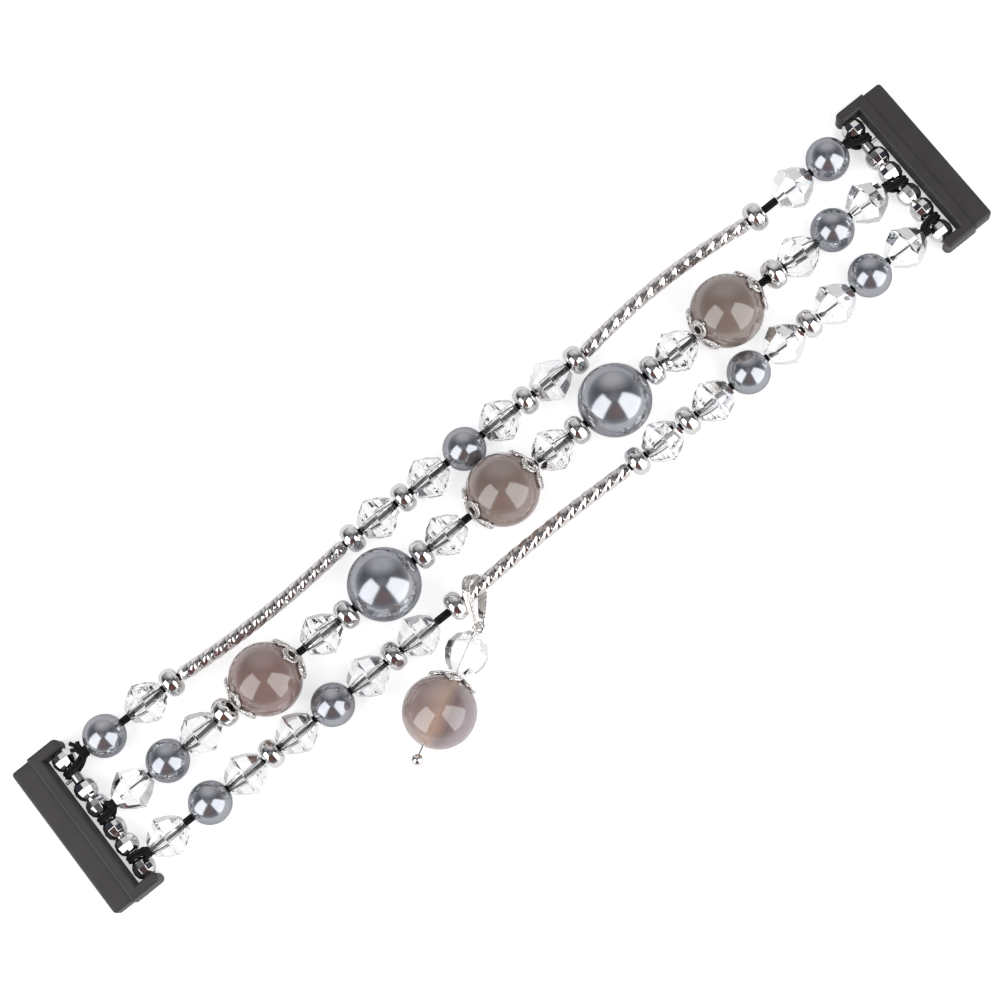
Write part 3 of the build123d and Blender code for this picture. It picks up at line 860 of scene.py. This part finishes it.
# The curved tubes: thin silver-plated tube, bent a little and twisted, with rows of small flats
# cut across it by a diamond tool. They are threaded on the elastic between spacers.
cut_silver = shaded("cut_silver", {"Metallic": 1.0})
cut_marks = clouds(cut_silver, 0.5)
colour_by(cut_silver, cut_marks, ((0.3, (0.76, 0.73, 0.71)), (0.7, (0.88, 0.86, 0.84))))
roughen_by(cut_silver, cut_marks, 0.04, 0.12)
tube_skin = shaded("tube_skin", {"Metallic": 1.0})
skin_marks = clouds(tube_skin, 0.2)
colour_by(tube_skin, skin_marks, ((0.3, (0.74, 0.73, 0.72)), (0.7, (0.95, 0.94, 0.93))))
roughen_by(tube_skin, skin_marks, 0.28, 0.5)
bump_by(tube_skin, skin_marks, 0.012 * mm)

tube_radius = 1.04 * mm
tube_bore = 0.62 * mm
cut_pitch = 2.05 * mm
cut_reach = 0.95 * mm
cut_depth = 0.15 * mm
cut_slant = 0.55 / mm
cuts_around = 7
cut_turn = 0.1
tube_sides = 84
tube_step = 0.09 * mm
tube_end_reach = 0.8 * mm
tube_end_share = 0.86
tube_nudge = 0.1 * mm
tube_end_gap = 0.01 * mm
tube_crease = radians(14)


def cut_radius(along, angle):
    """How far the skin is from the tube's middle, where oval flats are cut into it at a slant."""
    radius = tube_radius
    for stagger in (0, 1):
        centre = (round(along / cut_pitch - stagger / 2) + stagger / 2) * cut_pitch
        offset = along - centre
        turn = angle - cut_turn + offset * cut_slant - pi * stagger / cuts_around
        turn -= round(turn * cuts_around / (2 * pi)) * 2 * pi / cuts_around
        depth = cut_depth * (1 - (offset / cut_reach) ** 2)
        if depth > 0:
            radius = min(radius, (tube_radius - depth) / cos(turn))
    return radius


for tube in tube_bows:
    row = tube.split("_")[0]
    low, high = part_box(tube)
    work = bmesh.new()
    rings = []
    plain = set()
    steps = round((high.x - low.x) / tube_step)
    for step in range(steps + 1):
        x = low.x + (high.x - low.x) * step / steps
        inside = min(max(x, low.x + tube_nudge), high.x - tube_nudge)
        ahead = row_point(row, min(inside + tube_nudge, high.x - tube_end_gap))
        behind = row_point(row, max(inside - tube_nudge, low.x + tube_end_gap))
        place = aimed(row_point(row, x), ahead - behind)
        ring = []
        end_share = min((x - low.x) / tube_end_reach, (high.x - x) / tube_end_reach, 1.0)
        slimness = tube_end_share + (1 - tube_end_share) * max(end_share, 0.0)
        for side in range(tube_sides):
            angle = 2 * pi * side / tube_sides
            radius = cut_radius(x - low.x, angle)
            out = Vector((cos(angle), sin(angle), 0)) * radius * slimness
            ring.append(work.verts.new(place @ out))
            if radius == tube_radius:
                plain.add(ring[-1])
        rings.append(ring)
        if step in (0, steps):
            bore = [place @ (Vector((x, y, 0)) * tube_bore) for x, y in circle(tube_sides)]
            rings.insert(len(rings) if step else 0, [work.verts.new(corner) for corner in bore])
    bridge_rings(work, rings)
    for face in work.faces:
        if plain.issuperset(face.verts):
            face.material_index = 1
    piece = new_piece(f"{tube}_diamond_cut", work, cut_silver, tube_crease, tube_skin)
    stands_for(piece, tube)


# The agates: 10 mm balls of taupe agate, ground and polished to a glassy shine and drilled.
# Faint layers run through the stone, and light goes a little way into it.
def fade_across(material, centre, direction, reach, wander):
    """A value from 0 to 1 across a stone, along a direction, that wanders a little with noise."""
    nodes, links = material.node_tree.nodes, material.node_tree.links
    place = nodes.new("ShaderNodeTexCoord")
    across = nodes.new("ShaderNodeVectorMath")
    across.operation = "DOT_PRODUCT"
    across.inputs[1].default_value = direction
    links.new(place.outputs["Object"], across.inputs[0])
    spread = nodes.new("ShaderNodeMapRange")
    middle = centre.dot(direction)
    spread.inputs["From Min"].default_value = middle - reach
    spread.inputs["From Max"].default_value = middle + reach
    links.new(across.outputs["Value"], spread.inputs["Value"])
    blend = nodes.new("ShaderNodeMix")
    blend.inputs["Factor"].default_value = wander
    links.new(spread.outputs["Result"], blend.inputs["A"])
    links.new(clouds(material, 4.0, detail=4.0), blend.inputs["B"])
    return blend.outputs["Result"]


polished_agate = {
    "IOR": 1.55,
    "Coat Weight": 1.0,
    "Coat IOR": 1.75,
    "Coat Roughness": 0.02,
    "Subsurface Weight": 0.3,
    "Subsurface Radius": (1.4, 1.0, 0.8),
    "Subsurface Scale": 1.0 * mm,
    "Roughness": 0.2,
}
agate_stone = shaded("agate_stone", polished_agate)
band_reach = 70 * mm
colour_by(
    agate_stone,
    fade_across(agate_stone, Vector(), Vector((1, 0, 0)), band_reach, 0.45),
    (
        (0.26, (0.285, 0.178, 0.162)),
        (0.42, (0.265, 0.180, 0.160)),
        (0.56, (0.262, 0.195, 0.165)),
        (0.76, (0.240, 0.188, 0.160)),
    ),
)
pin_hole_radius = 0.4 * mm
drop_centre = sum(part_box("pendant_agate"), Vector()) / 2
crystal_centre = sum(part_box("pendant_crystal"), Vector()) / 2
drop_direction = (drop_centre - crystal_centre).normalized()
drop_place = aimed(drop_centre, drop_direction)

pendant_stone = shaded("pendant_stone", polished_agate)
cool_side = (picture_right * 0.9 - picture_up * 0.43).normalized()
colour_by(
    pendant_stone,
    fade_across(pendant_stone, drop_centre, cool_side, large_radius, 0.2),
    (
        (0.12, (0.37, 0.265, 0.25)),
        (0.34, (0.40, 0.285, 0.26)),
        (0.50, (0.50, 0.35, 0.28)),
        (0.62, (0.245, 0.175, 0.17)),
        (0.76, (0.31, 0.245, 0.255)),
        (0.94, (0.36, 0.285, 0.31)),
    ),
)
agate_nodes = ("middle_left_agate", "middle_centre_agate", "middle_right_agate")
agate_places = {node: strung_places(node)[0] for node in agate_nodes}
agate_places["pendant_agate"] = drop_place
agate_steps = 56
agate_sides = 80
for node, place in agate_places.items():
    hanging = node == "pendant_agate"
    work = bmesh.new()
    bore = pin_hole_radius if hanging else hole_radius
    turned(work, place, drilled_ball(large_radius, bore, hole_rim, agate_steps), agate_sides)
    piece = new_piece(f"{node}_polished", work, pendant_stone if hanging else agate_stone)
    stands_for(piece, node)


# The petal caps: cast rhodium-plated caps of five pierced petals with corded edges.
# One hugs each end of an agate, held by the tension of the elastic or by the headpin.
cap_metal = shaded("cap_metal", {"Metallic": 1.0})
cast_skin = clouds(cap_metal, 0.35)
colour_by(cap_metal, cast_skin, ((0.3, (0.74, 0.71, 0.69)), (0.7, (0.92, 0.90, 0.88))))
roughen_by(cap_metal, cast_skin, 0.10, 0.24)
bump_by(cap_metal, cast_skin, 0.014 * mm)

cap_petals = 5
cap_seat = 5.0 * mm
petal_end = 3.35 * mm
petal_shape = (0.85 * mm, petal_end, 1.08 * mm)
window_shape = (1.3 * mm, 2.7 * mm, 0.58 * mm)
pinch_shares = (0.94, 0.16)
cord_beads = 24
cord_radius = 0.175 * mm
cord_bead_shares = (0.72, 0.38)
cord_lift = 0.3 * mm
plate_under = 0.03 * mm
plate_top = 0.32 * mm
window_lift = 0.34 * mm
window_cord_radius = 0.075 * mm
petal_points = 96
tip_points = 14
tip_gap = 0.12 * mm
tip_radius = 0.17 * mm
tip_cord_radius = 0.1 * mm
hub_places = (4.98, 4.98, 5.12, 5.3, 5.45, 5.55, 5.55, 5.48)
hub_radii = (0.62, 1.2, 1.26, 1.2, 1.02, 0.85, 0.7, 0.62)
hub_profile = [(along * mm, out * mm) for along, out in zip(hub_places, hub_radii)]
collar_points = 96
collar_radius = 1.16 * mm
collar_height = 5.2 * mm
collar_cord_radius = 0.08 * mm
collar_bead = 0.05 * mm
collar_beads = 16


def on_petal(turn, along, across, lift):
    """A point over the agate: along a petal from the pole, across it, and lifted off the stone."""
    pole_angle = along / cap_seat
    side_angle = across / cap_seat
    radial = Vector((cos(turn), sin(turn), 0))
    beside = Vector((-sin(turn), cos(turn), 0))
    outwards = radial * sin(pole_angle) + Vector((0, 0, 1)) * cos(pole_angle)
    return (outwards * cos(side_angle) + beside * sin(side_angle)) * (cap_seat + lift)


def leaf(start, end, half_width, share):
    """A point (along, across) of a petal's outline, which is narrower at its foot."""
    angle = 2 * pi * share
    along = (start + end) / 2 + (end - start) / 2 * cos(angle)
    pinch = pinch_shares[0] + pinch_shares[1] * cos(angle)
    return along, half_width * sin(angle) * pinch


def petal_cap(work, place):
    """Adds a cap whose pole is along the place's z axis, one petal turned up along its y axis."""
    first_corner = len(work.verts)
    for petal in range(cap_petals):
        turn = pi / 2 + 2 * pi * petal / cap_petals
        edge = []
        edge_radii = []
        window = []
        plate = []
        for number in range(petal_points):
            share = number / petal_points
            along, across = leaf(*petal_shape, share)
            edge.append(on_petal(turn, along, across, cord_lift))
            bead = abs(sin(pi * cord_beads * share))
            edge_radii.append(cord_radius * (cord_bead_shares[0] + cord_bead_shares[1] * bead))
            inner_along, inner_across = leaf(*window_shape, share)
            window.append(on_petal(turn, inner_along, inner_across, window_lift))
            ring = [
                on_petal(turn, along, across, plate_under),
                on_petal(turn, along, across, plate_top),
                on_petal(turn, inner_along, inner_across, plate_top),
                on_petal(turn, inner_along, inner_across, plate_under),
            ]
            plate.append([work.verts.new(corner) for corner in ring])
        bridge_rings(work, plate, closed=True)
        # Painted shade: a dark sheet closes the petal's window and stands in for the shaded agate seen
        # through the hole.
        window_shade_sheet = work.faces.new([ring[3] for ring in plate])
        window_shade_sheet.material_index = 1
        wire(work, edge, edge_radii, sides=8, closed=True)
        wire(work, window, [window_cord_radius] * petal_points, sides=6, closed=True)
        tip = []
        for x, y in circle(tip_points):
            along = petal_end + tip_gap + tip_radius * x
            tip.append(on_petal(turn, along, tip_radius * y, tip_radius))
        wire(work, tip, [tip_cord_radius] * tip_points, sides=8, closed=True)
    turned(work, Matrix.Identity(4), hub_profile, sides=40)
    collar = []
    collar_radii = []
    for number in range(collar_points):
        angle = 2 * pi * number / collar_points
        out = Vector((cos(angle), sin(angle), 0)) * collar_radius
        collar.append(out + Vector((0, 0, collar_height)))
        collar_radii.append(collar_cord_radius + collar_bead * abs(sin(collar_beads * angle / 2)))
    wire(work, collar, collar_radii, sides=8, closed=True)
    work.verts.ensure_lookup_table()
    bmesh.ops.transform(work, matrix=place, verts=work.verts[first_corner:])


# Painted shade: the dark sheet in each petal's window stands in for the agate in shadow under the open
# hole of the real cap.
painted_shade_sheet = shaded("painted_shade_sheet", {"Roughness": 0.6, "Specular IOR Level": 0.2})
colour_by(painted_shade_sheet, clouds(painted_shade_sheet, 0.3), ((0.3, (0.012, 0.006, 0.006)), (0.7, (0.05, 0.024, 0.02))))

cap_crease = radians(60)
half_turn = Matrix.Rotation(pi, 4, "Y")
for group in ("middle_left", "middle_centre", "middle_right"):
    work = bmesh.new()
    petal_cap(work, agate_places[f"{group}_agate"])
    petal_cap(work, agate_places[f"{group}_agate"] @ half_turn)
    piece = new_piece(f"{group}_petal_caps", work, cap_metal, cap_crease, painted_shade_sheet)
    stands_for(piece, f"{group}_caps")
work = bmesh.new()
petal_cap(work, drop_place @ half_turn)
pendant_cap = new_piece("pendant_petal_cap", work, cap_metal, cap_crease, painted_shade_sheet)
stands_for(pendant_cap, "pendant_cap")


# The pendant's bail and headpin: a cast hoop round the lower tube, and a wire with an eye that
# goes through crystal, cap and agate and ends in a ball. Both are plated bright.
refinish("pendant_headpin", bright_silver)

bail_joint = next(joint for joint in frame["joints"] if joint["child"] == "bail")
bail_at = Vector(bail_joint["pos_m"])
bail_yaw = radians(31)
bail_lean = radians(25)
bail_down = Vector((-sin(bail_yaw), -cos(bail_yaw), 0))
bail_normal = Vector((cos(bail_yaw) * cos(bail_lean), -sin(bail_yaw) * cos(bail_lean), sin(bail_lean)))
bail_out = bail_normal.cross(bail_down)
bail_top = 2.0 * mm
bail_end = 0.8 * mm
bail_drop = 4.1 * mm
strap_half_thickness = 0.17 * mm
strap_rim = 0.13 * mm
strap_steps = 150
strap_half_width = 0.55 * mm
strap_narrowing = 0.3 * mm
strap_corner_shares = ((-1, -1), (1, -1), (1, 1), (0.5, 0.55), (-0.5, 0.55), (-1, 1))
rim_height_share = 0.8
rim_bead_shares = (0.7, 0.35)
rim_beads = 30
rib_height_share = 0.7
rib_radius = 0.09 * mm
vein_pitch = 3
vein_lean = 4
vein_radius = 0.055 * mm
bail_crease = radians(40)


def strap_point(share):
    """Where the bail's middle line is, as an arc's centre, radius and angle: two arcs and straights."""
    spread = asin((bail_top - bail_end) / bail_drop)
    top_arc = bail_top * (pi + 2 * spread)
    end_arc = bail_end * (pi - 2 * spread)
    straight = bail_drop * cos(spread)
    walk = share * (top_arc + end_arc + 2 * straight)
    if walk < top_arc:
        angle = pi / 2 - spread + walk / bail_top
        return bail_at, bail_top, angle
    walk -= top_arc
    angle = 3 * pi / 2 + spread
    end_at = bail_at + bail_down * bail_drop
    if walk < straight:
        radius = bail_top + (bail_end - bail_top) * walk / straight
        return bail_at.lerp(end_at, walk / straight), radius, angle
    walk -= straight
    if walk < end_arc:
        return end_at, bail_end, angle + walk / bail_end
    walk -= end_arc
    radius = bail_end + (bail_top - bail_end) * walk / straight
    return end_at.lerp(bail_at, walk / straight), radius, pi / 2 - spread + 2 * pi


work = bmesh.new()
strap = []
rims = {-1: [], 1: []}
rib = []
for step in range(strap_steps):
    centre, radius, angle = strap_point(step / strap_steps)
    out = bail_down * cos(angle) + bail_out * sin(angle)
    middle = centre + out * radius
    along_bail = (middle - bail_at).dot(bail_down)
    fall = min(max((along_bail + bail_top) / (bail_drop + bail_top), 0.0), 1.0)
    back_leg = max(out.dot(bail_out), 0.0)
    narrowing = fall * (1 - back_leg) + fall**4 * back_leg
    half_width = strap_half_width - strap_narrowing * narrowing
    ring = []
    for across, lift in strap_corner_shares:
        offset = bail_normal * half_width * across + out * strap_half_thickness * lift
        ring.append(work.verts.new(middle + offset))
    strap.append(ring)
    for side in rims:
        edge = middle + bail_normal * half_width * side
        rims[side].append(edge + out * strap_half_thickness * rim_height_share)
    rib.append(middle + out * strap_half_thickness * rib_height_share)
bridge_rings(work, strap, closed=True)
rim_waves = [abs(sin(pi * rim_beads * step / strap_steps)) for step in range(strap_steps)]
rim_radii = [strap_rim * (rim_bead_shares[0] + rim_bead_shares[1] * wave) for wave in rim_waves]
for side in rims:
    wire(work, rims[side], rim_radii, sides=8, closed=True)
wire(work, rib, [rib_radius] * strap_steps, sides=6, closed=True)
for step in range(0, strap_steps, vein_pitch):
    for side in rims:
        tip = rims[side][(step + vein_lean) % strap_steps]
        vein = [rib[step], rib[step].lerp(tip, 0.5), tip]
        wire(work, vein, [vein_radius] * len(vein), sides=6)
bail = new_piece("pendant_bail_cast", work, cap_metal, crease=bail_crease)
stands_for(bail, "pendant_bail")


# The pendant's crystal: a rounder bead of soft clear glass, threaded on the headpin.
# Its belt of upright facets sits between two crowns of two rows each.
soft_glass = shaded("soft_glass", {"Roughness": 0.0, "IOR": 1.34, "Transmission Weight": 0.96})
colour_by(soft_glass, clouds(soft_glass, 1.2), crystal_tones)
crystal_half = 2.9 * mm
crystal_radius = 2.95 * mm
crystal_height_shares = (-1.0, -0.68, -0.2, 0.2, 0.68, 1.0)
crystal_radius_shares = (0.42, 0.78, 1.0, 1.0, 0.78, 0.42)
crystal_sides = 10
work = bmesh.new()
cut_bead(
    work,
    aimed(crystal_centre, drop_direction),
    [share * crystal_half for share in crystal_height_shares],
    [share * crystal_radius for share in crystal_radius_shares],
    crystal_sides,
    pin_hole_radius,
    crystal_edge,
    [pi / crystal_sides] * len(crystal_height_shares),
)
crystal = new_piece("pendant_crystal_cut", work, soft_glass, crystal_crease, worn_edge)
stands_for(crystal, "pendant_crystal")
